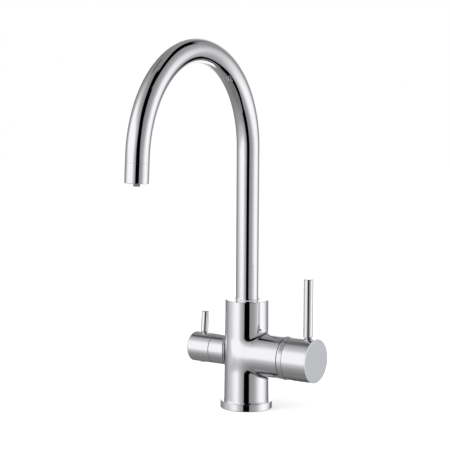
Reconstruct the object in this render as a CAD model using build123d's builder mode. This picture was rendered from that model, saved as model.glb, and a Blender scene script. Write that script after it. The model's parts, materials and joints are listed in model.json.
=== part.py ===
from build123d import *
import os
from math import cos, pi, radians, sin

# Three way filtered water tap: swivel gooseneck spout on a round body, a single lever
# mixer on the right (+X) and a quarter turn filtered water valve on the left (-X).
# Millimetres. The origin is the centre of the base on the worktop, +Z is up and the
# spout reaches towards -Y.

# ---------------------------------------------------------------- driving dimensions
fit = 0.05                 # radial running clearance of turned fits
film = 0.05                # gap between ceramic discs that slide on each other
over = 1.0                 # how far some cuts run past a face

# base flange
flange_r = 27.7
flange_t = 8.0
flange_edge = 0.9          # rounded lower edge
flange_top_edge = 0.4
flange_lip_h = 1.6         # raised ring that the body stands on
flange_lip_over = 0.2      # how far the lip stands proud of the body
spigot_r = 20.0            # body spigot inside the flange
seal_groove_r = 24.0       # inner radius of the seal groove under the flange
seal_width = 2.4
seal_depth = 2.2

# body
foot_r = 23.75
crown_r = 22.9
body_top_z = 116.0
body_edge = 0.35
valve_axis_z = 58.8
branch_r = 22.9            # mixer branch, a horizontal cylinder
crotch_r = 4.0             # blend between branch and body

# underside ports and fixing studs
port_x = 9.5               # hot and cold inlets, beside each other
port_y = 7.5
filter_port_x = -11.0
port_r = 4.5               # tapping size of the M10 x 1 hose threads
port_depth = 12.0
feed_r = 3.0               # drilled waterway above each port
stud_y = 13.0              # two M8 fixing studs, one each side
stud_x = -1.0
stud_hole_r = 3.4          # tapping size of M8
stud_depth = 14.0

# spout
tube_r = 12.0
tube_wall = 1.5
arch_centre_z = 277.0
arch_r = 103.7
arch_angle = 176.2
spout_swing = 2.1          # how far the spout is turned from -Y towards +X
tip_straight = 27.0        # from the end of the arch to the mouth
outlet_len = 19.5
outlet_edge = 0.5
seam = 0.25                # bevel each side of a visible joint line

# spout socket in the body, and what seals and turns in it
socket_r = 11.1
socket_floor_z = 86.0
step_z = 101.0             # shoulder that carries the thrust washer
bush_bore_r = 13.6
bush_seat_z = 107.5
bush_lip_h = 0.4
bush_lip_r = 12.7
washer_t = 1.0
insert_collar_h = 4.9
insert_bore_r = 8.5
insert_plug_len = 15.0     # how far the insert goes up the tube
insert_foot_gap = 1.0
oring_r = 0.85
oring_groove_h = 2.2
oring_offsets = (5.1, 10.6)
lock_groove_h = 2.6
lock_groove_depth = 1.2
lock_screw_r = 2.5
lock_tip_r = 1.0
lock_tip_len = 1.6

# filtered waterway up the middle of the spout
riser_r = 3.5
riser_bore_r = 2.3
riser_seat = 7.0           # length pressed into the body
riser_reach = 13.0         # length standing in the socket
connector_r = 6.0
connector_grip = 7.0       # overlap on the riser
inner_tube_r = 4.0
inner_tube_wall = 1.25
inner_tube_gap = 0.4       # from the riser to the tube, inside the connector
inner_tube_grip = 6.7
nozzle_r = 3.35
nozzle_bore_r = 2.2
nozzle_proud = 3.0
nozzle_flange_r = 4.6
nozzle_flange_t = 2.0
barb_len = 7.0
aerator_inset = 0.7
aerator_t = 9.2
aerator_hole_r = 0.9
aerator_hole_count = 14
outlet_wall = 1.5
outlet_neck_r = 9.0
outlet_washer_t = 1.2
outlet_washer_bore = 8.0

# mixer cartridge, stacked outwards along +X from the chamber floor
chamber_floor_x = 21.5
chamber_r = 17.6
cartridge_r = 17.45
seal_proud = 0.2
seal_t = 1.5
seal_ring_w = 1.3
cartridge_base_t = 6.0
water_hole_r = 3.0
inlet_drop = 5.0           # hot and cold holes below the cartridge axis
mixed_rise = 8.0           # mixed water hole above the cartridge axis
peg_r = 1.5
peg_len = 2.0
peg_y = 13.5
fixed_disc_t = 3.5
fixed_disc_r = 13.2
moving_disc_t = 3.95
moving_disc_r = 10.5
mixing_pocket_r = 7.6
mixing_pocket_depth = 2.0
carrier_t = 3.0
carrier_flat = 9.0         # half width across the guided flats
guide_gap = 0.1
rotor_gap = 0.3
rotor_t = 9.2
rotor_r = 13.7
arm_r = 13.3
pivot_depth = 3.7          # pivot axis above the rotor's inner face
pin_r = 1.5
pin_half = 11.0
shell_lip_t = 1.7
shell_lip_r = 10.5
shoulder_x = 43.0          # cartridge shoulder that the nut bears on
neck_r = 15.8
stem_half = 4.0            # square stem
stem_slot_gap = 0.2
stem_shank_r = 3.5
stem_neck_r = 2.0
ball_r = 3.0
ball_flat = 0.6            # flat on the ball's inner side, from its centre
ball_relief = 5.4          # height of the rotor's relief over the lifting ball
ball_relief_depth = 1.5
ball_socket_gap = 0.2
ball_depth = 5.7           # ball centre below the pivot
stem_reach = 32.0          # from the pivot to the stem's outer end

# nut, collar ring and mixer handle
branch_end_x = 49.8
nut_thread_r = 19.0
nut_head_r = 20.0
nut_slot_r = 18.5          # spanner slots end inside the nut's rim
nut_seat_gap = 0.1
collar_r = 23.5
collar_w = 5.5
collar_gap = 0.9           # shadow gap between branch and collar ring
collar_taper = 4.0         # slight cone that lets the tilting handle pass
collar_nose_r = 22.8
nut_inset = 0.7            # nut front behind the hub's rear edge
slot_w = 4.0
slot_depth = 2.5
hub_gap = 0.4
hub_r = 23.1
hub_len = 27.6
hub_bore_r = 20.5
hub_bore_depth = 9.5
hub_rim_wall = 0.35        # thin rear lip that swings over the collar
hub_rim_chamfer = 5.0
hub_boss_r = 7.5
hub_boss_len = 5.0
stem_fit = 0.1
scoop_start = 17.5         # height below the axis where the rear relief begins
scoop_len = 7.9
cap_t = 1.6
cap_bevel = 0.6
cap_spigot_r = 18.0
cap_spigot_len = 4.4
rod_x = 75.3
rod_r = 5.0
rod_top_z = 144.2
rod_foot = 2.4             # rounding of the rod's lower end
rod_top_edge = 0.5
stud_r = 3.0
stud_len = 9.0
grub_x = 70.0
grub_r = 2.5
grub_len = 9.0
plug_r = 3.0
plug_t = 2.2

# filtered water valve, stacked outwards along -X from the tap's centre line
seat_d = 13.0
cavity_r = 9.6
boss_r = 12.4              # threaded boss on the body's side
boss_end_d = 27.0
gallery_r = 11.0
gallery_w = 4.4
filter_duct_r = 2.4
filter_duct_z = 75.5
filter_seal_t = 2.0
filter_seal_bore = 6.6
filter_disc_t = 2.5
filter_disc_r = 8.3
filter_hole_r = 2.4
filter_hole_off = 4.0
foot_t = 2.4
foot_w = 5.0
foot_clear = 0.3
cage_r = 8.5
cage_window = 6.0
headwork_oring_w = 2.0
headwork_oring_inset = 1.0  # from the hexagon to the groove
headwork_groove_r = 8.2
hex_flats = 22.0
hex_t = 3.2
barrel_r = 9.0
barrel_end_d = 43.0
spindle_r = 4.0
spindle_square = 3.2
spindle_end_d = 58.0
bonnet_r = 15.8
bonnet_bore_r = 13.2
bonnet_bore_d = 35.5
bonnet_end_d = 39.3
bonnet_gap = 0.4           # from the body to the bonnet's rear, scribed to it
bonnet_edge = 2.0          # rounded edge at the body
turn_gap = 0.4
filter_hub_end_d = 67.1
filter_hub_edge = 2.2
filter_lean = 5.0          # lever leans back from the vertical at rest
filter_rod_d = 55.2
filter_rod_r = 4.0
filter_rod_top = 38.8      # rod end from the valve axis
filter_rod_foot = 1.9
filter_stud_r = 2.0
filter_stud_len = 6.0
filter_grub_r = 2.5
filter_grub_len = 8.0
filter_plug_proud = 0.4

# ---------------------------------------------------------------- derived places
body_foot_z = flange_t + flange_lip_h

cartridge_base_x = chamber_floor_x + seal_proud
fixed_disc_x = chamber_floor_x + cartridge_base_t
moving_disc_x = fixed_disc_x + fixed_disc_t + film
carrier_x = moving_disc_x + moving_disc_t
rotor_x = carrier_x + carrier_t + rotor_gap
pivot_x = rotor_x + pivot_depth
shell_lip_x = rotor_x + rotor_t + rotor_gap
ball_x = pivot_x - ball_depth
nut_thread_end_x = branch_end_x + nut_seat_gap
collar_x = branch_end_x + collar_gap
collar_end_x = collar_x + collar_w
hub_x = collar_end_x + hub_gap
nut_end_x = hub_x - nut_inset
hub_end_x = hub_x + hub_len
cap_end_x = hub_end_x + cap_t
hub_web_x = hub_x + hub_bore_depth
stem_end_x = pivot_x + stem_reach

fixed_filter_disc_d = seat_d + filter_seal_t
moving_filter_disc_d = fixed_filter_disc_d + filter_disc_t + film
foot_d = moving_filter_disc_d + filter_disc_t
cage_end_d = foot_d + foot_t + foot_clear
hex_end_d = boss_end_d + hex_t
filter_hub_d = bonnet_end_d + turn_gap

insert_foot_z = socket_floor_z + insert_foot_gap
insert_collar_z = step_z + washer_t + film
tube_foot_z = insert_collar_z + insert_collar_h
lock_z = insert_collar_z + insert_collar_h / 2
tube_bore_r = tube_r - tube_wall
riser_top_z = socket_floor_z + riser_reach
connector_z = riser_top_z - connector_grip
inner_tube_foot_z = riser_top_z + inner_tube_gap
outlet_start = tip_straight - outlet_len
aerator_end = tip_straight - aerator_inset
aerator_start = aerator_end - aerator_t
washer_start = aerator_start - outlet_washer_t
nozzle_flange_start = aerator_start - nozzle_flange_t

# ---------------------------------------------------------------- planes and axes
reach_dir = Vector(sin(radians(spout_swing)), -cos(radians(spout_swing)), 0)
arch_centre = reach_dir * arch_r + Vector(0, 0, arch_centre_z)
arch_axis = Axis(arch_centre, (cos(radians(spout_swing)), sin(radians(spout_swing)), 0))
tip_down = reach_dir * sin(radians(arch_angle)) + Vector(0, 0, cos(radians(arch_angle)))
tip_point = arch_centre - reach_dir * arch_r * cos(radians(arch_angle))
tip_point = tip_point + Vector(0, 0, arch_r * sin(radians(arch_angle)))
tip_plane = Plane(origin=tip_point, x_dir=arch_axis.direction, z_dir=tip_down)

mixer_section = Plane(origin=(0, 0, valve_axis_z), x_dir=(1, 0, 0), z_dir=(0, -1, 0))
valve_axis = Axis((0, 0, valve_axis_z), (1, 0, 0))
lean = radians(filter_lean)
lean_up = Vector(0, sin(lean), cos(lean))


def on_axis(x):
    """A point on the common axis of the two valves."""
    return Vector(x, 0, valve_axis_z)


def across_mixer(x):
    """Plane square to the mixer axis; local x is +Y and local y is +Z."""
    return Plane(origin=(x, 0, valve_axis_z), x_dir=(0, 1, 0), z_dir=(1, 0, 0))


def across_filter(d):
    """Plane square to the filter valve axis, d outwards; local y leans with the lever."""
    return Plane(origin=(-d, 0, valve_axis_z), x_dir=Vector(0, -cos(lean), sin(lean)),
                 z_dir=(-1, 0, 0))


def outline(plane, *points):
    """A closed polygon on a plane, to be revolved or extruded."""
    with BuildSketch(plane) as shape:
        with BuildLine():
            Polyline(*points, close=True)
        make_face()
    return shape.sketch


def ring(plane, outer, inner=0.0):
    """A disc or an annulus on a plane."""
    with BuildSketch(plane) as shape:
        Circle(outer)
        if inner > 0:
            Circle(inner, mode=Mode.SUBTRACT)
    return shape.sketch


def hexagon(plane, flats):
    """A hexagon on a plane, by its size across the flats."""
    with BuildSketch(plane) as shape:
        RegularPolygon(flats / 2, 6, major_radius=False)
    return shape.sketch


def block(plane, left, right, low, high):
    """A rectangle on a plane, given by its four sides."""
    return outline(plane, (left, low), (right, low), (right, high), (left, high))


def spout_pipe(outer, inner, foot_z, tip_length):
    """A pipe up the spout's centre line, over the arch and down to the tip."""
    with BuildPart() as pipe:
        extrude(ring(Plane.XY.offset(foot_z), outer, inner), amount=arch_centre_z - foot_z)
        revolve(ring(Plane.XY.offset(arch_centre_z), outer, inner), axis=arch_axis,
                revolution_arc=arch_angle)
        extrude(ring(tip_plane, outer, inner), amount=tip_length)
    return pipe


def rim(piece, radius, centre):
    """The round edge of a piece with this radius and centre."""
    rounds = piece.edges().filter_by(GeomType.CIRCLE)
    rounds = rounds.filter_by(lambda e: abs(e.radius - radius) < fit / 2)
    return rounds.sort_by(lambda e: (e.arc_center - centre).length)[0]


def down_tip(distance):
    """A point on the tip's centre line, this far below the end of the arch."""
    return tip_point + tip_down * distance


def save(name, piece):
    """Label one finished piece and write its STEP file."""
    piece.part.label = name
    export_step(piece.part, "parts/" + name + ".step")


os.makedirs("parts", exist_ok=True)

# ---------------------------------------------------------------- base
with BuildPart() as base_flange:
    extrude(ring(Plane.XY, flange_r), amount=flange_t)
    fillet(base_flange.edges().group_by(Axis.Z)[0], flange_edge)
    fillet(base_flange.edges().group_by(Axis.Z)[-1], flange_top_edge)
    extrude(ring(Plane.XY.offset(flange_t), foot_r + flange_lip_over), amount=flange_lip_h)
    extrude(ring(Plane.XY, spigot_r + fit), amount=body_foot_z, mode=Mode.SUBTRACT)
    extrude(ring(Plane.XY, seal_groove_r + seal_width, seal_groove_r),
            amount=seal_depth, mode=Mode.SUBTRACT)
save("base_flange", base_flange)

with BuildPart() as base_seal:
    extrude(ring(Plane.XY, seal_groove_r + seal_width - fit, seal_groove_r + fit),
            amount=seal_depth - fit)
save("base_seal", base_seal)

# ---------------------------------------------------------------- body
with BuildPart() as tap_body:
    revolve(outline(Plane.XZ, (0, body_foot_z), (foot_r, body_foot_z),
                    (crown_r, body_top_z), (0, body_top_z)), axis=Axis.Z)
    extrude(ring(across_mixer(0), branch_r), amount=branch_end_x)
    crotch = tap_body.edges().filter_by(lambda e: e.geom_type != GeomType.LINE)
    crotch = crotch.filter_by(lambda e: e.geom_type != GeomType.CIRCLE)
    fillet(crotch, crotch_r)
    chamfer(tap_body.edges().filter_by(GeomType.CIRCLE).group_by(Axis.Z)[-1], body_edge)
    # threaded boss of the filter valve
    extrude(ring(across_filter(seat_d), boss_r), amount=boss_end_d - seat_d)
    # spigot in the flange
    extrude(ring(Plane.XY, spigot_r), amount=body_foot_z)
    # cartridge chamber, its mouth threaded for the nut
    extrude(ring(across_mixer(chamber_floor_x), chamber_r),
            amount=branch_end_x - chamber_floor_x, mode=Mode.SUBTRACT)
    extrude(ring(across_mixer(shoulder_x - nut_seat_gap), nut_thread_r + fit),
            amount=branch_end_x, mode=Mode.SUBTRACT)
    # spout socket
    with Locations((0, 0, body_top_z)):
        Hole(socket_r, depth=body_top_z - socket_floor_z)
        Hole(bush_bore_r, depth=body_top_z - step_z)
    with Locations((0, 0, socket_floor_z)):
        Hole(riser_r + fit, depth=riser_seat)
    # hot and cold ports, feeds and their crossings to the chamber floor
    with BuildSketch(Plane.XY):
        with Locations((port_x, port_y), (port_x, -port_y), (filter_port_x, 0)):
            Circle(port_r)
    extrude(amount=port_depth, mode=Mode.SUBTRACT)
    with BuildSketch(Plane.XY):
        with Locations((port_x, port_y), (port_x, -port_y)):
            Circle(feed_r)
    extrude(amount=valve_axis_z - inlet_drop, mode=Mode.SUBTRACT)
    with BuildSketch(across_mixer(port_x)):
        with Locations((port_y, -inlet_drop), (-port_y, -inlet_drop)):
            Circle(feed_r)
    extrude(amount=chamber_floor_x - port_x, mode=Mode.SUBTRACT)
    # mixed water: out of the chamber floor and up to the socket
    with BuildSketch(across_mixer(port_x)):
        with Locations((0, mixed_rise)):
            Circle(feed_r)
    extrude(amount=chamber_floor_x - port_x, mode=Mode.SUBTRACT)
    with BuildSketch(Plane.XY.offset(valve_axis_z + mixed_rise)):
        with Locations((port_x - feed_r / 2, 0)):
            Circle(feed_r)
    extrude(amount=socket_floor_z - valve_axis_z - mixed_rise, mode=Mode.SUBTRACT)
    # locating peg holes of the cartridge
    with BuildSketch(across_mixer(chamber_floor_x)):
        with Locations((peg_y, 0), (-peg_y, 0)):
            Circle(peg_r + fit)
    extrude(amount=-peg_len - fit, mode=Mode.SUBTRACT)
    # filtered water: feed, valve cavity with its gallery, duct to the riser
    with BuildSketch(Plane.XY):
        with Locations((filter_port_x, 0)):
            Circle(filter_duct_r)
    extrude(amount=valve_axis_z, mode=Mode.SUBTRACT)
    extrude(ring(across_filter(-filter_port_x), filter_duct_r),
            amount=seat_d + filter_port_x, mode=Mode.SUBTRACT)
    extrude(ring(across_filter(seat_d), cavity_r), amount=boss_end_d - seat_d,
            mode=Mode.SUBTRACT)
    extrude(ring(across_filter(moving_filter_disc_d), gallery_r), amount=gallery_w,
            mode=Mode.SUBTRACT)
    with BuildSketch(Plane.XY.offset(valve_axis_z)):
        with Locations((-moving_filter_disc_d - gallery_w / 2, 0)):
            Circle(filter_duct_r - fit)
    extrude(amount=filter_duct_z - valve_axis_z, mode=Mode.SUBTRACT)
    with BuildSketch(Plane.YZ):
        with Locations((0, filter_duct_z)):
            Circle(filter_duct_r - fit)
    extrude(amount=-moving_filter_disc_d - gallery_w / 2, mode=Mode.SUBTRACT)
    with BuildSketch(Plane.XY.offset(filter_duct_z)):
        Circle(riser_bore_r)
    extrude(amount=socket_floor_z - filter_duct_z, mode=Mode.SUBTRACT)
    # fixing stud holes
    with BuildSketch(Plane.XY):
        with Locations((stud_x, stud_y), (stud_x, -stud_y)):
            Circle(stud_hole_r)
    extrude(amount=stud_depth, mode=Mode.SUBTRACT)
    # threaded hole of the spout's locking screw, at the back
    with BuildSketch(Plane.XZ.offset(-foot_r)):
        with Locations((0, lock_z)):
            Circle(lock_screw_r + fit)
    extrude(amount=foot_r - socket_r, mode=Mode.SUBTRACT)
save("tap_body", tap_body)

# ---------------------------------------------------------------- spout
with BuildPart() as spout_bush:
    extrude(ring(Plane.XY.offset(bush_seat_z), bush_bore_r - fit, tube_r + fit),
            amount=body_top_z - bush_seat_z)
    extrude(ring(Plane.XY.offset(body_top_z), bush_lip_r, tube_r + fit), amount=bush_lip_h)
    chamfer(rim(spout_bush, bush_lip_r, Vector(0, 0, body_top_z + bush_lip_h)), seam)
save("spout_bush", spout_bush)

with BuildPart() as thrust_washer:
    extrude(ring(Plane.XY.offset(step_z), bush_bore_r - fit, socket_r + fit), amount=washer_t)
save("thrust_washer", thrust_washer)

spout_tube = spout_pipe(tube_r, tube_bore_r, tube_foot_z, outlet_start)
with spout_tube:
    chamfer(rim(spout_tube, tube_r, down_tip(outlet_start)), seam)
save("spout_tube", spout_tube)

oring_groove_r = socket_r - 2 * oring_r - 2 * fit
with BuildPart() as spout_insert:
    extrude(ring(Plane.XY.offset(insert_foot_z), socket_r - fit), amount=insert_collar_z - insert_foot_z)
    chamfer(spout_insert.edges().group_by(Axis.Z)[0], body_edge)
    extrude(ring(Plane.XY.offset(insert_collar_z), tube_r), amount=insert_collar_h)
    extrude(ring(Plane.XY.offset(tube_foot_z), tube_bore_r - fit), amount=insert_plug_len)
    for rise in oring_offsets:
        extrude(ring(Plane.XY.offset(insert_foot_z + rise - oring_groove_h / 2), tube_r,
                     oring_groove_r), amount=oring_groove_h, mode=Mode.SUBTRACT)
    extrude(ring(Plane.XY.offset(lock_z - lock_groove_h / 2), tube_r + over,
                 tube_r - lock_groove_depth), amount=lock_groove_h, mode=Mode.SUBTRACT)
    extrude(ring(Plane.XY.offset(insert_foot_z), insert_bore_r),
            amount=body_top_z, mode=Mode.SUBTRACT)
save("spout_insert", spout_insert)

with BuildPart() as spout_orings:
    for rise in oring_offsets:
        with Locations((0, 0, insert_foot_z + rise)):
            Torus(socket_r - fit - oring_r, oring_r)
save("spout_orings", spout_orings)

lock_tip_y = tube_r - lock_groove_depth + 4 * fit
with BuildPart() as spout_lock_screw:
    with BuildSketch(Plane.XZ.offset(-lock_tip_y)):
        with Locations((0, lock_z)):
            Circle(lock_tip_r)
    extrude(amount=-lock_tip_len)
    with BuildSketch(Plane.XZ.offset(-lock_tip_y - lock_tip_len)):
        with Locations((0, lock_z)):
            Circle(lock_screw_r)
    extrude(amount=-(crown_r - 2 * body_edge - lock_tip_y - lock_tip_len))
    screw_end = Plane(origin=(0, crown_r - 2 * body_edge, lock_z), z_dir=(0, -1, 0))
    extrude(hexagon(screw_end, lock_screw_r), amount=lock_screw_r, mode=Mode.SUBTRACT)
save("spout_lock_screw", spout_lock_screw)

# ---------------------------------------------------------------- filtered waterway
with BuildPart() as filtered_riser:
    extrude(ring(Plane.XY.offset(socket_floor_z - riser_seat), riser_r, riser_bore_r),
            amount=riser_seat + riser_reach)
    chamfer(rim(filtered_riser, riser_r, Vector(0, 0, riser_top_z)), seam)
save("filtered_riser", filtered_riser)

with BuildPart() as filtered_connector:
    extrude(ring(Plane.XY.offset(connector_z), connector_r),
            amount=inner_tube_foot_z + inner_tube_grip - connector_z)
    extrude(ring(Plane.XY.offset(connector_z), riser_r + fit), amount=connector_grip + fit,
            mode=Mode.SUBTRACT)
    extrude(ring(Plane.XY.offset(connector_z), riser_bore_r),
            amount=body_top_z, mode=Mode.SUBTRACT)
    extrude(ring(Plane.XY.offset(inner_tube_foot_z), inner_tube_r + fit),
            amount=body_top_z, mode=Mode.SUBTRACT)
save("filtered_connector", filtered_connector)

barb_start = nozzle_flange_start - barb_len
filtered_tube = spout_pipe(inner_tube_r, inner_tube_r - inner_tube_wall, inner_tube_foot_z,
                           nozzle_flange_start - fit)
save("filtered_tube", filtered_tube)

with BuildPart() as filtered_nozzle:
    extrude(ring(tip_plane.offset(barb_start), inner_tube_r - inner_tube_wall - fit),
            amount=barb_len)
    extrude(ring(tip_plane.offset(nozzle_flange_start), nozzle_flange_r),
            amount=nozzle_flange_t)
    extrude(ring(tip_plane.offset(aerator_start), nozzle_r),
            amount=tip_straight + nozzle_proud - aerator_start)
    chamfer(rim(filtered_nozzle, nozzle_r, down_tip(tip_straight + nozzle_proud)), seam)
    extrude(ring(tip_plane, nozzle_bore_r), amount=tip_straight + nozzle_proud,
            mode=Mode.SUBTRACT)
save("filtered_nozzle", filtered_nozzle)

# ---------------------------------------------------------------- outlet
with BuildPart() as outlet_collar:
    extrude(ring(tip_plane.offset(outlet_start), tube_r), amount=outlet_len)
    chamfer(rim(outlet_collar, tube_r, down_tip(outlet_start)), seam)
    fillet(rim(outlet_collar, tube_r, down_tip(tip_straight)), outlet_edge)
    extrude(ring(tip_plane.offset(seam), tube_bore_r - fit), amount=outlet_start)
    extrude(ring(tip_plane, outlet_neck_r), amount=tip_straight, mode=Mode.SUBTRACT)
    extrude(ring(tip_plane.offset(washer_start), tube_r - outlet_wall),
            amount=tip_straight, mode=Mode.SUBTRACT)
save("outlet_collar", outlet_collar)

with BuildPart() as outlet_washer:
    extrude(ring(tip_plane.offset(washer_start), tube_r - outlet_wall - fit,
                 outlet_washer_bore), amount=outlet_washer_t)
save("outlet_washer", outlet_washer)

aerator_ring_r = (tube_r - outlet_wall + nozzle_r) / 2
with BuildPart() as aerator:
    extrude(ring(tip_plane.offset(aerator_start), tube_r - outlet_wall - fit,
                 nozzle_r + fit), amount=aerator_t)
    with BuildSketch(tip_plane.offset(aerator_start)):
        with PolarLocations(aerator_ring_r, aerator_hole_count):
            Circle(aerator_hole_r)
    extrude(amount=aerator_t, mode=Mode.SUBTRACT)
save("aerator", aerator)

# ---------------------------------------------------------------- mixer cartridge
water_holes = ((port_y, -inlet_drop), (-port_y, -inlet_drop), (0, mixed_rise))
with BuildPart() as cartridge_seals:
    with BuildSketch(across_mixer(chamber_floor_x)):
        with Locations(*water_holes):
            Circle(water_hole_r + seal_ring_w)
            Circle(water_hole_r, mode=Mode.SUBTRACT)
    extrude(amount=seal_t)
save("cartridge_seals", cartridge_seals)

with BuildPart() as cartridge_base:
    extrude(ring(across_mixer(cartridge_base_x), cartridge_r),
            amount=cartridge_base_t - seal_proud)
    with BuildSketch(across_mixer(cartridge_base_x)):
        with Locations((peg_y, 0), (-peg_y, 0)):
            Circle(peg_r)
    extrude(amount=-peg_len)
    with BuildSketch(across_mixer(cartridge_base_x)):
        with Locations(*water_holes):
            Circle(water_hole_r + seal_ring_w + fit)
    extrude(amount=seal_t - seal_proud, mode=Mode.SUBTRACT)
    with BuildSketch(across_mixer(cartridge_base_x)):
        with Locations(*water_holes):
            Circle(water_hole_r)
    extrude(amount=cartridge_base_t, mode=Mode.SUBTRACT)
save("cartridge_base", cartridge_base)

with BuildPart() as fixed_disc:
    extrude(ring(across_mixer(fixed_disc_x), fixed_disc_r), amount=fixed_disc_t)
    with BuildSketch(across_mixer(fixed_disc_x)):
        with Locations(*water_holes):
            Circle(water_hole_r)
    extrude(amount=fixed_disc_t, mode=Mode.SUBTRACT)
save("fixed_disc", fixed_disc)

with BuildPart() as cartridge_housing:
    extrude(ring(across_mixer(fixed_disc_x), cartridge_r), amount=shoulder_x - fixed_disc_x)
    extrude(ring(across_mixer(shoulder_x), neck_r),
            amount=shell_lip_x + shell_lip_t - shoulder_x)
    extrude(ring(across_mixer(fixed_disc_x), rotor_r + fit),
            amount=shell_lip_x - fixed_disc_x, mode=Mode.SUBTRACT)
    extrude(ring(across_mixer(shell_lip_x), shell_lip_r), amount=shell_lip_t,
            mode=Mode.SUBTRACT)
save("cartridge_housing", cartridge_housing)

with BuildPart() as moving_disc:
    extrude(ring(across_mixer(moving_disc_x), moving_disc_r), amount=moving_disc_t)
    extrude(ring(across_mixer(moving_disc_x), mixing_pocket_r), amount=mixing_pocket_depth,
            mode=Mode.SUBTRACT)
save("moving_disc", moving_disc)

with BuildPart() as disc_carrier:
    extrude(ring(across_mixer(carrier_x), moving_disc_r, ball_r + ball_socket_gap),
            amount=carrier_t)
    extrude(block(across_mixer(carrier_x), -carrier_flat, carrier_flat,
                  -moving_disc_r, moving_disc_r), amount=carrier_t, mode=Mode.INTERSECT)
save("disc_carrier", disc_carrier)

stem_slot = stem_half + stem_slot_gap
with BuildPart() as temperature_rotor:
    extrude(ring(across_mixer(rotor_x), rotor_r), amount=rotor_t)
    # arms that guide the disc carrier by its flats
    extrude(ring(across_mixer(rotor_x), arm_r), amount=-carrier_t)
    extrude(block(across_mixer(rotor_x), -carrier_flat - guide_gap, carrier_flat + guide_gap,
                  -rotor_r, rotor_r), amount=-carrier_t, mode=Mode.SUBTRACT)
    # slot that the stem tilts in, and the pivot pin's hole
    extrude(block(across_mixer(rotor_x), -stem_slot, stem_slot,
                  -2 * stem_slot, stem_slot), amount=rotor_t, mode=Mode.SUBTRACT)
    extrude(block(across_mixer(rotor_x), -stem_slot, stem_slot, 0, ball_relief),
            amount=ball_relief_depth, mode=Mode.SUBTRACT)
    with Locations(Plane(origin=(pivot_x, 0, valve_axis_z), z_dir=(0, 1, 0))):
        Cylinder(pin_r, 2 * pin_half, mode=Mode.SUBTRACT)
save("temperature_rotor", temperature_rotor)

with BuildPart() as stem_pin:
    with Locations(Plane(origin=(pivot_x, 0, valve_axis_z), z_dir=(0, 1, 0))):
        Cylinder(pin_r, 2 * pin_half)
save("stem_pin", stem_pin)

with BuildPart() as cartridge_stem:
    extrude(block(across_mixer(pivot_x + pin_r), -stem_half, stem_half, -stem_half, stem_half),
            amount=stem_end_x - pivot_x - pin_r)
    extrude(ring(across_mixer(rotor_x + pin_r), stem_shank_r), amount=pivot_depth)
    extrude(ring(across_mixer(ball_x), stem_neck_r), amount=rotor_x + pin_r - ball_x)
    with Locations((ball_x, 0, valve_axis_z)):
        Sphere(ball_r)
    with Locations(Plane(origin=(pivot_x, 0, valve_axis_z), z_dir=(0, 1, 0))):
        Cylinder(pin_r + fit, 4 * stem_half, mode=Mode.SUBTRACT)
    extrude(ring(across_mixer(ball_x - ball_flat), 2 * ball_r), amount=-2 * ball_r,
            mode=Mode.SUBTRACT)
save("cartridge_stem", cartridge_stem)

# ---------------------------------------------------------------- nut and collar ring
with BuildPart() as cartridge_nut:
    extrude(ring(across_mixer(shoulder_x), nut_thread_r, neck_r + fit),
            amount=nut_thread_end_x - shoulder_x)
    extrude(ring(across_mixer(nut_thread_end_x), nut_head_r, neck_r + fit),
            amount=nut_end_x - nut_thread_end_x)
    for turn in range(4):
        direction = Vector(0, sin(turn * pi / 2), cos(turn * pi / 2))
        side = Plane(origin=(nut_end_x, 0, valve_axis_z),
                     x_dir=direction.cross(Vector(1, 0, 0)), z_dir=(1, 0, 0))
        extrude(block(side, -slot_w / 2, slot_w / 2, -nut_slot_r, -neck_r + over),
                amount=-slot_depth, mode=Mode.SUBTRACT)
save("cartridge_nut", cartridge_nut)

with BuildPart() as collar_ring:
    revolve(outline(mixer_section, (collar_x, nut_head_r + fit), (collar_x, collar_r),
                    (collar_end_x - collar_taper, collar_r), (collar_end_x, collar_nose_r),
                    (collar_end_x, nut_head_r + fit)), axis=valve_axis)
    chamfer(rim(collar_ring, collar_r, on_axis(collar_x)), seam)
save("collar_ring", collar_ring)

# ---------------------------------------------------------------- mixer handle
scoop_slope = (hub_r - scoop_start) / scoop_len
with BuildPart() as mixer_hub:
    revolve(outline(mixer_section, (hub_x, hub_r - hub_rim_wall), (hub_x, hub_r),
                    (hub_end_x, hub_r), (hub_end_x, cap_spigot_r + fit),
                    (hub_end_x - cap_spigot_len - fit, cap_spigot_r + fit),
                    (hub_end_x - cap_spigot_len - fit, 0), (hub_web_x - hub_boss_len, 0),
                    (hub_web_x - hub_boss_len, hub_boss_r), (hub_web_x, hub_boss_r),
                    (hub_web_x, hub_bore_r), (hub_x + hub_rim_chamfer, hub_bore_r)),
            axis=valve_axis)
    # relief under the rear edge
    extrude(outline(mixer_section, (hub_x - over, -scoop_start + over * scoop_slope),
                    (hub_x + 2 * scoop_len, -scoop_start - 2 * scoop_len * scoop_slope),
                    (hub_x - over, -scoop_start - 2 * scoop_len * scoop_slope)),
            amount=hub_r, both=True, mode=Mode.SUBTRACT)
    # stem socket, rod stud hole and grub screw hole
    socket_half = stem_half + stem_fit
    extrude(block(across_mixer(hub_web_x - hub_boss_len), -socket_half, socket_half,
                  -socket_half, socket_half),
            amount=stem_end_x + stem_fit - hub_web_x + hub_boss_len, mode=Mode.SUBTRACT)
    with Locations((rod_x, 0, valve_axis_z + hub_r)):
        Hole(stud_r + fit, depth=stud_len + stem_fit)
    with Locations(Plane(origin=(grub_x, 0, valve_axis_z - hub_r), z_dir=(0, 0, -1))):
        Hole(grub_r + fit, depth=hub_r - stem_half)
        Hole(plug_r + fit, depth=plug_t)
save("mixer_hub", mixer_hub)

with BuildPart() as mixer_cap:
    extrude(ring(across_mixer(hub_end_x), hub_r), amount=cap_t)
    chamfer(rim(mixer_cap, hub_r, on_axis(cap_end_x)), cap_bevel)
    extrude(ring(across_mixer(hub_end_x), cap_spigot_r), amount=-cap_spigot_len)
save("mixer_cap", mixer_cap)

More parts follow.
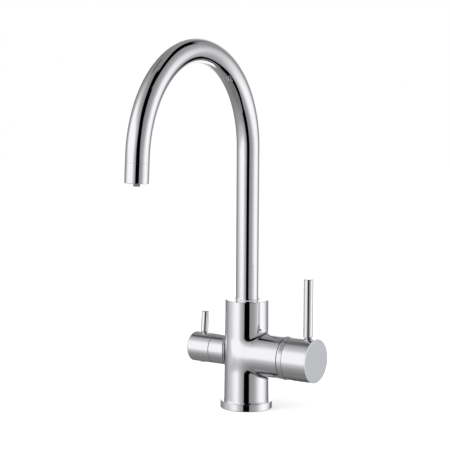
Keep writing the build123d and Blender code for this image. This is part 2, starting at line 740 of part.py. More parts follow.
with BuildPart() as mixer_rod:
    extrude(ring(Plane((rod_x, 0, valve_axis_z + hub_r)), rod_r),
            amount=rod_top_z - valve_axis_z - hub_r)
    fillet(mixer_rod.edges().group_by(Axis.Z)[0], rod_foot)
    chamfer(mixer_rod.edges().group_by(Axis.Z)[-1], rod_top_edge)
    extrude(ring(Plane((rod_x, 0, valve_axis_z + hub_r + rod_foot)), stud_r),
            amount=-stud_len - rod_foot)
save("mixer_rod", mixer_rod)

with BuildPart() as mixer_grub_screw:
    extrude(ring(Plane((grub_x, 0, valve_axis_z - stem_half - fit)), grub_r),
            amount=-grub_len)
    extrude(hexagon(Plane((grub_x, 0, valve_axis_z - stem_half - fit - grub_len)), grub_r),
            amount=grub_r, mode=Mode.SUBTRACT)
save("mixer_grub_screw", mixer_grub_screw)

with BuildPart() as mixer_screw_plug:
    extrude(ring(Plane((grub_x, 0, valve_axis_z - hub_r + plug_t)), plug_r), amount=-plug_t)
save("mixer_screw_plug", mixer_screw_plug)

# ---------------------------------------------------------------- filter valve
with BuildPart() as filter_seal:
    extrude(ring(across_filter(seat_d), filter_disc_r, filter_seal_bore),
            amount=filter_seal_t)
save("filter_seal", filter_seal)

with BuildPart() as filter_fixed_disc:
    extrude(ring(across_filter(fixed_filter_disc_d), filter_disc_r), amount=filter_disc_t)
    with BuildSketch(across_filter(fixed_filter_disc_d)):
        with Locations((0, filter_hole_off), (0, -filter_hole_off)):
            Circle(filter_hole_r)
    extrude(amount=filter_disc_t, mode=Mode.SUBTRACT)
save("filter_fixed_disc", filter_fixed_disc)

with BuildPart() as filter_moving_disc:
    extrude(ring(across_filter(moving_filter_disc_d), filter_disc_r), amount=filter_disc_t)
    with BuildSketch(across_filter(moving_filter_disc_d)):
        with Locations((filter_hole_off, 0), (-filter_hole_off, 0)):
            Circle(filter_hole_r)
    extrude(amount=filter_disc_t, mode=Mode.SUBTRACT)
save("filter_moving_disc", filter_moving_disc)

oring_low_d = boss_end_d - headwork_oring_inset - headwork_oring_w
with BuildPart() as filter_headwork:
    extrude(ring(across_filter(fixed_filter_disc_d), cavity_r - fit),
            amount=boss_end_d - fixed_filter_disc_d)
    extrude(ring(across_filter(oring_low_d), cavity_r, headwork_groove_r),
            amount=headwork_oring_w, mode=Mode.SUBTRACT)
    extrude(hexagon(across_filter(boss_end_d), hex_flats), amount=hex_t)
    extrude(ring(across_filter(hex_end_d), barrel_r), amount=barrel_end_d - hex_end_d)
    extrude(ring(across_filter(fixed_filter_disc_d), cage_r),
            amount=cage_end_d - fixed_filter_disc_d, mode=Mode.SUBTRACT)
    extrude(ring(across_filter(cage_end_d), spindle_r + fit), amount=barrel_end_d,
            mode=Mode.SUBTRACT)
    # side windows that let the water out of the cage
    extrude(block(across_filter(moving_filter_disc_d), -cavity_r, cavity_r,
                  -cage_window / 2, cage_window / 2),
            amount=cage_end_d - moving_filter_disc_d, mode=Mode.SUBTRACT)
save("filter_headwork", filter_headwork)

with BuildPart() as headwork_oring:
    extrude(ring(across_filter(oring_low_d + fit), cavity_r - fit, headwork_groove_r + fit),
            amount=headwork_oring_w - 2 * fit)
save("headwork_oring", headwork_oring)

with BuildPart() as filter_spindle:
    # foot that drives the moving disc
    with BuildSketch(across_filter(foot_d)):
        Circle(filter_disc_r)
        Rectangle(foot_w, 2 * filter_disc_r, mode=Mode.INTERSECT)
    extrude(amount=foot_t)
    extrude(ring(across_filter(foot_d), spindle_r), amount=barrel_end_d - foot_d)
    # squared end in the hub
    with BuildSketch(across_filter(barrel_end_d)):
        Circle(spindle_r)
        Rectangle(2 * spindle_square, 2 * spindle_square, mode=Mode.INTERSECT)
    extrude(amount=spindle_end_d - barrel_end_d)
save("filter_spindle", filter_spindle)

with BuildPart() as filter_bonnet:
    extrude(ring(across_filter(seat_d), bonnet_r), amount=bonnet_end_d - seat_d)
    chamfer(rim(filter_bonnet, bonnet_r, on_axis(-bonnet_end_d)), seam)
    revolve(outline(Plane.XZ, (0, body_foot_z), (foot_r + bonnet_gap, body_foot_z),
                    (crown_r + bonnet_gap, body_top_z), (0, body_top_z)), axis=Axis.Z,
            mode=Mode.SUBTRACT)
    scribed = filter_bonnet.edges().filter_by(lambda e: e.geom_type != GeomType.LINE)
    scribed = scribed.filter_by(lambda e: e.geom_type != GeomType.CIRCLE)
    fillet(scribed, bonnet_edge)
    extrude(ring(across_filter(seat_d), bonnet_bore_r), amount=bonnet_bore_d - seat_d,
            mode=Mode.SUBTRACT)
    extrude(ring(across_filter(bonnet_bore_d), barrel_r + fit), amount=bonnet_end_d,
            mode=Mode.SUBTRACT)
save("filter_bonnet", filter_bonnet)

# ---------------------------------------------------------------- filter valve lever
with BuildPart() as filter_hub:
    extrude(ring(across_filter(filter_hub_d), bonnet_r), amount=filter_hub_end_d - filter_hub_d)
    fillet(rim(filter_hub, bonnet_r, on_axis(-filter_hub_end_d)), filter_hub_edge)
    chamfer(rim(filter_hub, bonnet_r, on_axis(-filter_hub_d)), seam)
    extrude(ring(across_filter(filter_hub_d), barrel_r + turn_gap),
            amount=barrel_end_d + turn_gap - filter_hub_d, mode=Mode.SUBTRACT)
    square_fit = spindle_square + stem_fit
    extrude(block(across_filter(barrel_end_d), -square_fit, square_fit,
                  -square_fit, square_fit),
            amount=spindle_end_d + stem_fit - barrel_end_d, mode=Mode.SUBTRACT)
    rod_place = Vector(-filter_rod_d, 0, valve_axis_z)
    extrude(ring(Plane(origin=rod_place + lean_up * bonnet_r, z_dir=lean_up),
                 filter_stud_r + fit), amount=-filter_stud_len - stem_fit, mode=Mode.SUBTRACT)
    extrude(ring(Plane(origin=rod_place - lean_up * bonnet_r, z_dir=lean_up),
                 filter_grub_r + fit), amount=bonnet_r - spindle_square, mode=Mode.SUBTRACT)
    extrude(ring(Plane(origin=rod_place - lean_up * bonnet_r, z_dir=lean_up),
                 plug_r + fit), amount=plug_t, mode=Mode.SUBTRACT)
save("filter_hub", filter_hub)

with BuildPart() as filter_rod:
    extrude(ring(Plane(origin=rod_place + lean_up * bonnet_r, z_dir=lean_up), filter_rod_r),
            amount=filter_rod_top - bonnet_r)
    fillet(rim(filter_rod, filter_rod_r, rod_place + lean_up * bonnet_r), filter_rod_foot)
    chamfer(rim(filter_rod, filter_rod_r, rod_place + lean_up * filter_rod_top),
            rod_top_edge)
    extrude(ring(Plane(origin=rod_place + lean_up * (bonnet_r + filter_rod_foot),
                       z_dir=lean_up), filter_stud_r),
            amount=-filter_stud_len - filter_rod_foot)
save("filter_rod", filter_rod)

grub_top = rod_place - lean_up * (spindle_square + fit)
with BuildPart() as filter_grub_screw:
    extrude(ring(Plane(origin=grub_top, z_dir=lean_up), filter_grub_r),
            amount=-filter_grub_len)
    extrude(hexagon(Plane(origin=grub_top - lean_up * filter_grub_len, z_dir=lean_up),
                    filter_grub_r), amount=filter_grub_r, mode=Mode.SUBTRACT)
save("filter_grub_screw", filter_grub_screw)

with BuildPart() as filter_screw_plug:
    extrude(ring(Plane(origin=rod_place - lean_up * (bonnet_r + filter_plug_proud),
                       z_dir=lean_up), plug_r), amount=plug_t + filter_plug_proud - fit)
    fillet(rim(filter_screw_plug, plug_r,
               rod_place - lean_up * (bonnet_r + filter_plug_proud)), filter_plug_proud)
save("filter_screw_plug", filter_screw_plug)
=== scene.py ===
import bmesh
import bpy
import json
from math import cos, e, radians, sin
from mathutils import Matrix, Vector

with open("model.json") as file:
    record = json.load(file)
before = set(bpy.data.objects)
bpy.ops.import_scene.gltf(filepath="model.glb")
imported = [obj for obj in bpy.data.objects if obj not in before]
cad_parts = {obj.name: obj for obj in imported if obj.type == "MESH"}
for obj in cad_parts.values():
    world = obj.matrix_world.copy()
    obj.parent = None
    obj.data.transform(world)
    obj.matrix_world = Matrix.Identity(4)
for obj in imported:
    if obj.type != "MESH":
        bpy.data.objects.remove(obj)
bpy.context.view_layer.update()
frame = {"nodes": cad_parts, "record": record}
nodes = frame["nodes"]
print("frame loaded,", len(nodes), "pieces")


# shader maths: a socket that can be added, multiplied and so on
class Signal:
    def __init__(self, tree, socket):
        self.tree = tree
        self.socket = socket

    def maths(self, operation, first, second=None):
        node = self.tree.nodes.new("ShaderNodeMath")
        node.operation = operation
        plug(self.tree, node.inputs[0], first)
        if second is not None:
            plug(self.tree, node.inputs[1], second)
        return Signal(self.tree, node.outputs[0])

    def __add__(self, other):
        return self.maths("ADD", self, other)

    def __radd__(self, other):
        return self.maths("ADD", other, self)

    def __sub__(self, other):
        return self.maths("SUBTRACT", self, other)

    def __rsub__(self, other):
        return self.maths("SUBTRACT", other, self)

    def __mul__(self, other):
        return self.maths("MULTIPLY", self, other)

    def __rmul__(self, other):
        return self.maths("MULTIPLY", other, self)

    def __truediv__(self, other):
        return self.maths("DIVIDE", self, other)

    def __rtruediv__(self, other):
        return self.maths("DIVIDE", other, self)

    def __pow__(self, other):
        return self.maths("POWER", self, other)

    def __rpow__(self, other):
        return self.maths("POWER", other, self)

    def __abs__(self):
        return self.maths("ABSOLUTE", self)

    def atLeast(self, other):
        return self.maths("MAXIMUM", self, other)

    def atMost(self, other):
        return self.maths("MINIMUM", self, other)


def plug(tree, socket, value):
    if isinstance(value, Signal):
        tree.links.new(value.socket, socket)
    else:
        socket.default_value = value


# one material's or world's nodes
class Shader:
    def __init__(self, tree):
        self.tree = tree
        tree.nodes.clear()

    def node(self, kind, settings=None, sockets=None, out=0):
        node = self.tree.nodes.new(kind)
        for key, value in (settings or {}).items():
            if key == "stops":
                self.setStops(node.color_ramp, value)
            else:
                setattr(node, key, value)
        for key, value in (sockets or {}).items():
            plug(self.tree, node.inputs[key], value)
        return Signal(self.tree, node.outputs[out]) if node.outputs else node

    def setStops(self, ramp, stops):
        while len(ramp.elements) < len(stops):
            ramp.elements.new(0.5)
        for element, (place, level) in zip(ramp.elements, stops):
            element.position = place
            element.color = grey(level)

    def parts(self, vector):
        return [self.node("ShaderNodeSeparateXYZ", None, {"Vector": vector}, axis)
                for axis in "XYZ"]

    def joined(self, x, y, z):
        return self.node("ShaderNodeCombineXYZ", None, {"X": x, "Y": y, "Z": z})

    def dot(self, first, second):
        return self.node("ShaderNodeVectorMath", {"operation": "DOT_PRODUCT"},
                         {0: first, 1: second}, "Value")

    def smooth(self, value, low, high, fromLevel=0.0, toLevel=1.0):
        return self.node("ShaderNodeMapRange", {"interpolation_type": "SMOOTHSTEP"},
                         {"Value": value, "From Min": low, "From Max": high,
                          "To Min": fromLevel, "To Max": toLevel})

    # a Mix node keeps its vectors on sockets 4 and 5, and its colours on 6 and 7
    def mixVector(self, factor, first, second):
        return self.node("ShaderNodeMix", {"data_type": "VECTOR"},
                         {0: factor, 4: first, 5: second}, 1)

    def mixColour(self, factor, first, second):
        return self.node("ShaderNodeMix", {"data_type": "RGBA"},
                         {0: factor, 6: first, 7: second}, 2)

    def isRay(self, kind):
        return self.node("ShaderNodeLightPath", out="Is " + kind + " Ray")


def grey(level):
    return (level, level, level, 1.0)


def newMaterial(name):
    material = bpy.data.materials.new(name)
    material.use_nodes = True
    return material, Shader(material.node_tree)


# a piece of the studio, from a bmesh that is used up
def newStagePiece(name, bm, material):
    mesh = bpy.data.meshes.new(name)
    bm.to_mesh(mesh)
    bm.free()
    mesh.materials.append(material)
    piece = bpy.data.objects.new(name, mesh)
    bpy.context.scene.collection.objects.link(piece)
    return piece


# the camera, at the photograph's viewing angle; angles in degrees, lengths in metres
camera = {"headingDeg": 33.34, "turnDeg": 0.0153, "pitchDeg": -7.1447, "rollDeg": 0.31,
          "distance": 1.958, "height": 0.4405, "aside": -0.0234,
          "lens": 149.84, "sensor": 36.0, "clipNear": 0.05, "clipFar": 20.0}


def headingVector(deg):
    return Vector((sin(radians(deg)), -cos(radians(deg)), 0.0))


def makeCamera(settings):
    data = bpy.data.cameras.new("camera")
    data.sensor_width = settings["sensor"]
    data.lens = settings["lens"]
    data.clip_start = settings["clipNear"]
    data.clip_end = settings["clipFar"]
    cameraObject = bpy.data.objects.new("camera", data)
    bpy.context.scene.collection.objects.link(cameraObject)
    heading = settings["headingDeg"]
    place = headingVector(heading) * settings["distance"]
    place += headingVector(heading + 90.0) * settings["aside"]
    place.z = settings["height"]
    turn = Matrix.Rotation(radians(heading + settings["turnDeg"]), 4, "Z")
    tilt = Matrix.Rotation(radians(90.0 + settings["pitchDeg"]), 4, "X")
    roll = Matrix.Rotation(radians(settings["rollDeg"]), 4, "Z")
    cameraObject.matrix_world = Matrix.Translation(place) @ turn @ tilt @ roll
    bpy.context.scene.camera = cameraObject
    print("camera made")


makeCamera(camera)


# the studio that the metal mirrors: soft boxes, black flags and a pale backdrop, painted one
# over the other. Each is a card with round corners that stands at a heading from the camera's
# own; its place and half size are across and up from there, where 1 is a right angle away
studio = {
    "leftBox": {"headingDeg": -78.0, "place": (0.056, 0.114), "half": (0.253, 0.141),
                "corner": 0.084, "turnDeg": -19.4},
    "rightBox": {"headingDeg": 83.0, "place": (0.018, -0.086), "half": (0.043, 0.168),
                 "corner": 0.042, "turnDeg": -29.2},
    "panel": {"headingDeg": 75.0, "place": (-0.063, 0.020), "half": (0.559, 0.620),
              "corner": 0.280, "turnDeg": 2.0},
    "slot": {"headingDeg": 75.0, "place": (-0.041, 0.040), "half": (0.818, 0.882),
             "corner": 0.468, "turnDeg": -1.6},
    "flag": {"headingDeg": 0.0, "place": (0.009, 0.046), "half": (0.119, 0.526),
             "corner": 0.022, "turnDeg": -9.0},
    "flagTop": {"headingDeg": 0.0, "place": (0.000, 0.725), "half": (0.130, 0.205),
                "corner": 0.030, "turnDeg": 0.0},
    "flagMiddle": {"headingDeg": 0.0, "place": (0.102, 0.105), "half": (0.080, 0.130),
                   "corner": 0.020, "turnDeg": 4.0},
    "flagFoot": {"headingDeg": 0.0, "place": (0.000, -0.329), "half": (0.090, 0.159),
                 "corner": 0.030, "turnDeg": 0.0},
    "gap": {"headingDeg": 140.0, "place": (-0.031, 0.122), "half": (0.146, 0.232),
            "corner": 0.005, "turnDeg": 0.2},
    "backdrop": {"headingDeg": 163.0, "place": (0.068, -0.045), "half": (0.135, 0.197),
                 "corner": 0.114, "turnDeg": 2.5},
    "rim": {"headingDeg": -168.0, "place": (0.0, 0.0), "half": (0.105, 0.115),
            "corner": 0.030, "turnDeg": 0.0},
    "line": {"headingDeg": -141.0, "place": (0.035, 0.552), "half": (0.100, 0.038),
             "corner": 0.030, "turnDeg": 17.0},
    # how bright the boxes and the walls round them are, by the distance from the box's edge
    "leftGlow": [(0.0, 0.95), (0.05, 0.863), (0.1, 0.637), (0.15, 0.522), (0.2, 0.459),
                 (0.27, 0.338), (0.4, 0.260), (0.55, 0.222), (0.8, 0.26)],
    "rightGlow": [(0.0, 0.973), (0.05, 0.913), (0.1, 0.838), (0.15, 0.720), (0.2, 0.581),
                  (0.27, 0.416), (0.4, 0.312), (0.55, 0.275), (0.8, 0.19)],
    "blackLevel": 0.0008, "gapLevel": 0.28, "backdropLevel": 0.895, "rimLevel": 0.03,
    "lineLevel": 0.05,
    "belowLevel": 0.02, "belowFrom": -1.435, "belowTo": -0.684,
    "edge": 0.014, "gapEdge": 0.051, "backdropEdge": 0.11, "rimEdge": 0.03,
    "mirror": 0.88,       # what the chrome gives back of the light, so that white stays white
    "roomLevel": 0.62,    # what lights the floor and the duller pieces
    "behindLevel": 1.0,   # what the camera sees past the floor
    "pole": 1.0001,       # a little over 1, so nothing is divided by zero opposite a card
}


def cardDistance(shader, direction, card):
    heading = camera["headingDeg"] + card["headingDeg"]
    nearness = shader.dot(direction, tuple(headingVector(heading))) + studio["pole"]
    across = shader.dot(direction, tuple(headingVector(heading + 90.0))) / nearness
    up = shader.dot(direction, (0.0, 0.0, 1.0)) / nearness
    across, up = across - card["place"][0], up - card["place"][1]
    turnX, turnY = cos(radians(card["turnDeg"])), sin(radians(card["turnDeg"]))
    overX = abs(across * turnX + up * turnY) - (card["half"][0] - card["corner"])
    overY = abs(up * turnX - across * turnY) - (card["half"][1] - card["corner"])
    outside = (overX.atLeast(0.0) ** 2.0 + overY.atLeast(0.0) ** 2.0) ** 0.5
    return outside + overX.atLeast(overY).atMost(0.0) - card["corner"]


def makeStudio(settings):
    world = bpy.data.worlds.new("studio")
    bpy.context.scene.world = world
    world.use_nodes = True
    shader = Shader(world.node_tree)
    direction = shader.node("ShaderNodeTexCoord", out="Generated")

    def level(card, glow):
        distance = cardDistance(shader, direction, settings[card])
        return shader.node("ShaderNodeValToRGB", {"stops": settings[glow]}, {"Fac": distance})

    def inside(card, edge):
        distance = cardDistance(shader, direction, settings[card])
        return shader.smooth(distance, -edge, edge, 1.0, 0.0)

    def cover(light, card, edge="edge", tone="blackLevel"):
        return shader.mixColour(inside(card, settings[edge]), light, grey(settings[tone]))

    light = level("leftBox", "leftGlow")
    below = shader.smooth(shader.dot(direction, (0.0, 0.0, 1.0)), settings["belowFrom"],
                          settings["belowTo"], 1.0, 0.0)
    light = shader.mixColour(below, light, grey(settings["belowLevel"]))
    light = cover(light, "slot")
    light = cover(light, "gap", "gapEdge", "gapLevel")
    light = shader.mixColour(inside("panel", settings["edge"]), light,
                             level("rightBox", "rightGlow"))
    for flag in ("flag", "flagTop", "flagMiddle", "flagFoot"):
        light = cover(light, flag)
    light = cover(light, "backdrop", "backdropEdge", "backdropLevel")
    light = cover(light, "rim", "rimEdge", "rimLevel")
    light = cover(light, "line", "edge", "lineLevel")
    mirrored = shader.node("ShaderNodeBackground", None,
                           {"Color": light, "Strength": 1.0 / settings["mirror"]})
    room = shader.node("ShaderNodeBackground", None,
                       {"Color": grey(settings["roomLevel"]), "Strength": 1.0})
    behind = shader.node("ShaderNodeBackground", None,
                         {"Color": grey(settings["behindLevel"]), "Strength": 1.0})
    soft = shader.node("ShaderNodeMixShader", None,
                       {0: shader.isRay("Diffuse"), 1: mirrored, 2: room})
    seen = shader.node("ShaderNodeMixShader", None,
                       {0: shader.isRay("Camera"), 1: soft, 2: behind})
    shader.node("ShaderNodeOutputWorld", None, {"Surface": seen})
    print("studio made")


makeStudio(studio)


lamps = {
    "key": {"place": (-0.9, -1.5, 1.6), "aim": (0.0, -0.05, 0.15), "size": 1.2, "watts": 16.0},
    "fill": {"place": (1.7, -0.6, 1.2), "aim": (0.0, -0.05, 0.15), "size": 1.4, "watts": 8.0},
}


def makeLamp(name, settings):
    data = bpy.data.lights.new(name, "AREA")
    data.size = settings["size"]
    data.energy = settings["watts"]
    lamp = bpy.data.objects.new(name, data)
    bpy.context.scene.collection.objects.link(lamp)
    place = Vector(settings["place"])
    aim = Vector(settings["aim"]) - place
    turn = aim.to_track_quat("-Z", "Y").to_matrix().to_4x4()
    lamp.matrix_world = Matrix.Translation(place) @ turn
    lamp.visible_glossy = False  # metal sees the studio's soft boxes instead


for lampName, lampSettings in lamps.items():
    makeLamp(lampName, lampSettings)
print("lamps made")


# the pale floor keeps the tap's shadow; its glow is for the camera alone
floor = {"radius": 3.0, "segments": 96, "cameraGlow": 0.46, "level": 0.86}


def makeFloor(settings):
    material, shader = newMaterial("paleFloor")
    matt = shader.node("ShaderNodeBsdfDiffuse", None, {"Color": grey(settings["level"])})
    glow = shader.node("ShaderNodeEmission", None, {"Strength": settings["cameraGlow"]})
    lit = shader.node("ShaderNodeAddShader", None, {0: matt, 1: glow})
    seen = shader.node("ShaderNodeMixShader", None,
                       {0: shader.isRay("Camera"), 1: matt, 2: lit})
    shader.node("ShaderNodeOutputMaterial", None, {"Surface": seen})
    bm = bmesh.new()
    bmesh.ops.create_circle(bm, cap_ends=True, segments=settings["segments"],
                            radius=settings["radius"])
    floorObject = newStagePiece("floor", bm, material)
    floorObject.visible_glossy = False  # metal sees the studio's own lower part
    print("floor made")


makeFloor(floor)


# a white card close behind the tap; only the metal sees it, in its upward faces
reflector = {"behind": 0.24, "left": -0.030, "right": 0.100, "foot": 0.005, "top": 0.250}


def makeReflector(settings):
    material, shader = newMaterial("reflectorWhite")
    glow = shader.node("ShaderNodeEmission", None, {"Strength": 1.0 / studio["mirror"]})
    shader.node("ShaderNodeOutputMaterial", None, {"Surface": glow})
    bm = bmesh.new()
    bmesh.ops.create_grid(bm, x_segments=1, y_segments=1, size=0.5)
    bmesh.ops.scale(bm, verts=bm.verts, vec=(settings["right"] - settings["left"],
                                             settings["top"] - settings["foot"], 1.0))
    stand = Matrix.Rotation(radians(90.0), 3, "X")
    face = Matrix.Rotation(radians(camera["headingDeg"]), 3, "Z")
    bmesh.ops.rotate(bm, verts=bm.verts, cent=(0.0, 0.0, 0.0), matrix=face @ stand)
    centre = headingVector(camera["headingDeg"]) * -settings["behind"]
    centre += headingVector(camera["headingDeg"] + 90.0) * (
        (settings["left"] + settings["right"]) / 2)
    centre.z = (settings["foot"] + settings["top"]) / 2
    bmesh.ops.translate(bm, verts=bm.verts, vec=centre)
    card = newStagePiece("reflector", bm, material)
    card.visible_camera = False
    card.visible_diffuse = False
    card.visible_shadow = False
    card.visible_transmission = False
    print("reflector made")


makeReflector(reflector)


# the finishes; every pattern lies on the piece's own object coordinates
def startMaterial(name):
    material, shader = newMaterial(name)
    place = shader.node("ShaderNodeTexCoord", out="Object")
    return material, shader, place


def endMaterial(shader, sockets):
    surface = shader.node("ShaderNodeBsdfPrincipled", None, sockets)
    shader.node("ShaderNodeOutputMaterial", None, {"Surface": surface})


def noise(shader, place, scale, detail=2.0, roughness=0.5, stretch=None):
    if stretch:
        place = shader.node("ShaderNodeMapping", None, {"Vector": place, "Scale": stretch})
    return shader.node("ShaderNodeTexNoise", None,
                       {"Vector": place, "Scale": scale, "Detail": detail,
                        "Roughness": roughness})


def bump(shader, height, strength, distance, facing=None):
    sockets = {"Height": height, "Strength": strength, "Distance": distance}
    if facing:
        sockets["Normal"] = facing
    return shader.node("ShaderNodeBump", None, sockets)


noiseMiddle = 0.5  # the middle of a noise texture's 0 to 1, taken off where it goes both ways


# painted shade in the gaps on both sides of the collar ring: the colour is darkened there as if
# in shadow; from, to, how dark
paintedGrooveShade = {"places": [(0.04972, 0.05082, 1.0), (0.05600, 0.05680, 0.5)], "edge": 0.00004,
           "colour": (0.02, 0.02, 0.022, 1.0)}


def grooveShade(shader, place):
    x = shader.parts(place)[0]
    shade = 0.0
    for start, end, depth in paintedGrooveShade["places"]:
        entered = shader.smooth(x, start - paintedGrooveShade["edge"], start)
        left = shader.smooth(x, end, end + paintedGrooveShade["edge"])
        shade = entered * (1.0 - left) * depth + shade
    return shade


# painted shade under the valve handles: where a face points down its colour turns near black,
# the mixer's most
paintedUnderside = {"from": 0.58, "to": 0.90, "filterShare": 0.6,
              "mixerFrom": 0.0560, "mixerTo": 0.0570, "colour": (0.05, 0.05, 0.053, 1.0)}


def underneathShade(shader, place):
    downwards = 0.0 - shader.parts(shader.node("ShaderNodeTexCoord", out="Normal"))[2]
    mixerSide = shader.smooth(shader.parts(place)[0], paintedUnderside["mixerFrom"],
                              paintedUnderside["mixerTo"], paintedUnderside["filterShare"], 1.0)
    return mixerSide * shader.smooth(downwards, paintedUnderside["from"], paintedUnderside["to"])


# chrome is polished bright, or rubbed to a softer shine where hands and cloths go; here and
# below, a pattern of noise is given as scale, detail, roughness and stretch
chrome = {"light": (0.872, 0.873, 0.900, 1.0), "deep": (0.842, 0.843, 0.874, 1.0),
          "roughness": 0.018, "haze": 0.02,
          "rubbedLight": (0.835, 0.836, 0.858, 1.0), "rubbedRoughness": 0.13,
          "rubbedLines": 0.04,
          "cloud": (22.0, 4.0), "smear": (60.0, 5.0, 0.6), "smearFrom": 0.45, "smearTo": 0.75,
          "lines": (1500.0, 2.0, 0.5, (1.0, 0.12, 0.12)),
          "polish": (420.0, 3.0), "waveStrength": 0.01, "waveHeight": 0.0002}


def makeChrome(name, settings, rubbedPart, facing=None):
    material, shader, place = startMaterial(name)
    rubbed = rubbedPart(shader, place)
    smear = shader.smooth(noise(shader, place, *settings["smear"]),
                          settings["smearFrom"], settings["smearTo"])
    bright = shader.mixColour(noise(shader, place, *settings["cloud"]),
                              settings["deep"], settings["light"])
    # painted shade: the rubbed colour is mixed towards near black on faces that point down
    soft = shader.mixColour(underneathShade(shader, place),
                            settings["rubbedLight"], paintedUnderside["colour"])
    wornAndShadedBelow = shader.mixColour(rubbed.atMost(1.0), bright, soft)
    polished = settings["roughness"] + settings["haze"] * smear
    lines = noise(shader, place, *settings["lines"]) - noiseMiddle
    softened = settings["rubbedRoughness"] + settings["rubbedLines"] * lines
    # the base colour takes the painted shade in the gaps beside the collar ring
    endMaterial(shader, {
        "Base Color": shader.mixColour(grooveShade(shader, place), wornAndShadedBelow, paintedGrooveShade["colour"]),
        "Metallic": 1.0,
        "Roughness": polished + (softened - polished) * rubbed,
        "Normal": bump(shader, noise(shader, place, *settings["polish"]),
                       settings["waveStrength"], settings["waveHeight"],
                       facing(shader, place) if facing else None)})
    return material


# how much of a piece is rubbed; next to the body the bonnet is out of reach and stays dull
rubbing = {"scale": 30.0, "traces": 0.1, "least": 0.85, "spread": 0.3,
           "bodyRadius": 0.023, "near": 0.0015, "far": 0.0032, "dullness": 2.2}


def nowhere(shader, place):
    return noise(shader, place, rubbing["scale"]) * rubbing["traces"]


def everywhere(shader, place):
    return rubbing["least"] + noise(shader, place, rubbing["scale"]) * rubbing["spread"]


def towardsBody(shader, place):
    x, y = shader.parts(place)[:2]
    offBody = (x * x + y * y) ** 0.5 - rubbing["bodyRadius"]
    return everywhere(shader, place) + shader.smooth(
        offBody, rubbing["near"], rubbing["far"], rubbing["dullness"], 0.0)


# the branch for the mixer: where its rubbed shine starts, and how its corner with the body
# is softened
branch = {"axisHeight": 0.0588, "bodyRadius": 0.023, "branchRadius": 0.0229,
          "from": -0.004, "to": 0.013, "inner": 0.016, "outer": 0.0225,
          "clearFrom": 0.022, "clearTo": 0.028,
          "softness": 0.0026, "crestFrom": 0.014, "crestTo": 0.0205,
          "skinFrom": 0.0015, "skinTo": 0.0025}


def onBranch(shader, place):
    x, _, z = shader.parts(place)
    outwards = shader.smooth(x, branch["from"], branch["to"])
    height = abs(z - branch["axisHeight"])
    clear = shader.smooth(x, branch["clearFrom"], branch["clearTo"])
    level = shader.smooth(height, branch["inner"], branch["outer"], 1.0, 0.0)
    return outwards * level.atLeast(clear)


# the casting is polished by hand at the sides of the branch, so the light runs over the
# corner; its crest above and below, and the filter valve's boss, keep their own normals
def softCorner(shader, place):
    x, y, z = shader.parts(place)
    up = z - branch["axisHeight"]
    bodyReach = (x * x + y * y) ** 0.5
    branchReach = (y * y + up * up) ** 0.5
    offBody = bodyReach - branch["bodyRadius"]
    offBranch = (branchReach - branch["branchRadius"]).atLeast(0.0 - x)
    share = 1.0 / (1.0 + e ** ((offBranch - offBody) / branch["softness"]))
    bodyShare = 1.0 - share
    softX = bodyShare * x / bodyReach
    softY = bodyShare * y / bodyReach + share * y / branchReach
    softZ = share * up / branchReach
    crest = shader.smooth(abs(up), branch["crestFrom"], branch["crestTo"])
    skin = shader.smooth(offBody.atMost(offBranch), branch["skinFrom"], branch["skinTo"])
    return shader.mixVector(crest.atLeast(skin), shader.joined(softX, softY, softZ),
                            shader.node("ShaderNodeNewGeometry", out="Normal"))


# the mixer's end cap: a satin face, with a painted highlight on the bevel round it, which is
# pale and less metallic so that it shows as a bright rim
cap = {"light": (0.805, 0.822, 0.862, 1.0), "deep": (0.775, 0.790, 0.830, 1.0),
       "roughness": 0.24, "haze": 0.05,
       "grain": (2400.0, 3.0, 0.6), "cloud": (40.0, 3.0), "grainShare": 0.1,
       "grainStrength": 0.004, "grainHeight": 0.0001,
       "bevel": (0.97, 0.975, 0.985, 1.0), "bevelMetal": 0.2, "bevelRoughness": 1.5,
       "bevelFrom": 0.08516, "bevelTo": 0.08522, "faceFrom": 0.08568, "faceTo": 0.08576}


def makeCap(name, settings):
    material, shader, place = startMaterial(name)
    x = shader.parts(place)[0]
    # where the bevel is, for its painted highlight
    bevel = (shader.smooth(x, settings["bevelFrom"], settings["bevelTo"])
             * shader.smooth(x, settings["faceFrom"], settings["faceTo"], 1.0, 0.0))
    grain = noise(shader, place, *settings["grain"])
    cloud = noise(shader, place, *settings["cloud"])
    tone = grain * settings["grainShare"] + cloud * (1.0 - settings["grainShare"])
    face = shader.mixColour(tone, settings["deep"], settings["light"])
    roughness = settings["roughness"] + settings["haze"] * (grain - noiseMiddle)
    endMaterial(shader, {
        "Base Color": shader.mixColour(bevel, face, settings["bevel"]),
        "Metallic": 1.0 - (1.0 - settings["bevelMetal"]) * bevel,
        "Roughness": roughness * (1.0 + (settings["bevelRoughness"] - 1.0) * bevel),
        "Normal": bump(shader, grain, settings["grainStrength"], settings["grainHeight"])})
    return material


# turned pieces, with fine grooves from the tool; "shade" is the neck behind the mixer's handle
turned = {
    "shade": {"light": (0.05, 0.05, 0.052, 1.0), "deep": (0.02, 0.02, 0.021, 1.0),
              "roughness": 0.45},
    "brass": {"light": (0.83, 0.66, 0.36, 1.0), "deep": (0.62, 0.45, 0.20, 1.0),
              "roughness": 0.28},
    "steel": {"light": (0.68, 0.68, 0.69, 1.0), "deep": (0.48, 0.48, 0.50, 1.0),
              "roughness": 0.32},
}
turning = {"groove": (700.0, 2.0, 0.5, (1.0, 0.05, 0.05)), "grooveStrength": 0.25,
           "grooveHeight": 0.0003, "stain": (55.0, 5.0, 0.6), "stainFrom": 0.35,
           "stainTo": 0.7, "stainShare": 0.6, "stainRoughness": 0.12}


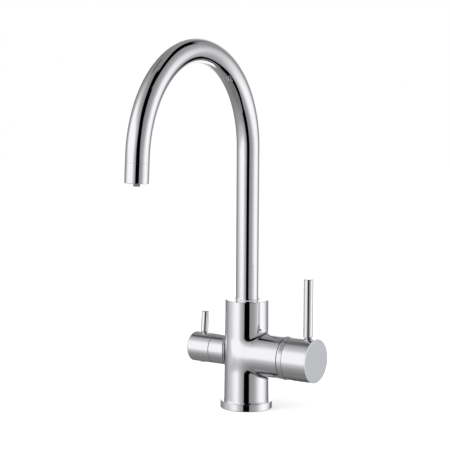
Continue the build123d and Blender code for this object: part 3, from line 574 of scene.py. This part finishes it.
def makeTurned(name, settings):
    material, shader, place = startMaterial(name + "Turned")
    groove = noise(shader, place, *turning["groove"])
    stain = shader.smooth(noise(shader, place, *turning["stain"]),
                          turning["stainFrom"], turning["stainTo"])
    tone = stain * turning["stainShare"] + groove * (1.0 - turning["stainShare"])
    endMaterial(shader, {
        "Base Color": shader.mixColour(tone, settings["deep"], settings["light"]),
        "Metallic": 1.0,
        "Roughness": settings["roughness"] + turning["stainRoughness"] * stain,
        "Normal": bump(shader, groove, turning["grooveStrength"], turning["grooveHeight"])})
    return material


# moulded and pressed pieces; at rest only the spout's bush and the outlet's middle show
moulded = {
    "whitePlastic": {"light": (0.80, 0.81, 0.83, 1.0), "deep": (0.72, 0.73, 0.75, 1.0),
                     "roughness": 0.42, "grain": 0.15},
    "greyPlastic": {"light": (0.36, 0.37, 0.38, 1.0), "deep": (0.27, 0.28, 0.29, 1.0),
                    "roughness": 0.45, "grain": 0.2},
    "blackPlastic": {"light": (0.055, 0.055, 0.06, 1.0), "deep": (0.03, 0.03, 0.033, 1.0),
                     "roughness": 0.4, "grain": 0.2},
    "rubber": {"light": (0.04, 0.04, 0.041, 1.0), "deep": (0.018, 0.018, 0.018, 1.0),
               "roughness": 0.7, "grain": 0.45},
    "ceramic": {"light": (0.91, 0.90, 0.86, 1.0), "deep": (0.84, 0.82, 0.77, 1.0),
                "roughness": 0.18, "grain": 0.04},
}
moulding = {"grain": (1400.0, 3.0, 0.6), "grainHeight": 0.0003, "grainRoughness": 0.15,
            "flow": (70.0, 4.0, 0.55), "flowShare": 0.7}


def makeMoulded(name, settings):
    material, shader, place = startMaterial(name)
    grain = noise(shader, place, *moulding["grain"])
    flow = noise(shader, place, *moulding["flow"])
    tone = flow * moulding["flowShare"] + grain * (1.0 - moulding["flowShare"])
    roughness = settings["roughness"] + moulding["grainRoughness"] * (grain - noiseMiddle)
    endMaterial(shader, {
        "Base Color": shader.mixColour(tone, settings["deep"], settings["light"]),
        "Roughness": roughness,
        "Normal": bump(shader, grain, settings["grain"], moulding["grainHeight"])})
    return material


finishes = {"chrome": makeChrome("polishedChrome", chrome, nowhere),
            "rubbed": makeChrome("rubbedChrome", chrome, everywhere),
            "bonnet": makeChrome("bonnetChrome", chrome, towardsBody),
            "body": makeChrome("bodyChrome", chrome, onBranch, softCorner),
            "satin_metal": makeCap("satinFace", cap)}
for finishName in ("shade", "brass", "steel"):
    finishes[finishName] = makeTurned(finishName, turned[finishName])
for slotName, finishName in (("white_plastic", "whitePlastic"), ("grey_plastic", "greyPlastic"),
                             ("black_plastic", "blackPlastic"), ("rubber", "rubber"),
                             ("ceramic", "ceramic")):
    finishes[slotName] = makeMoulded(finishName, moulded[finishName])

# pieces whose finish isn't their material slot's plain one
finishByNode = {"tap_body": "body", "mixer_hub": "rubbed", "collar_ring": "rubbed",
                "cartridge_nut": "shade", "filter_hub": "rubbed", "filter_bonnet": "bonnet",
                "filter_screw_plug": "rubbed", "mixer_screw_plug": "rubbed"}
for part in frame["record"]["subparts"]:
    mesh = nodes[part["node"]].data
    mesh.materials.clear()
    mesh.materials.append(finishes[finishByNode.get(part["node"], part["material_slot"])])
print("finishes made")

bpy.context.scene.view_settings.view_transform = "Standard"
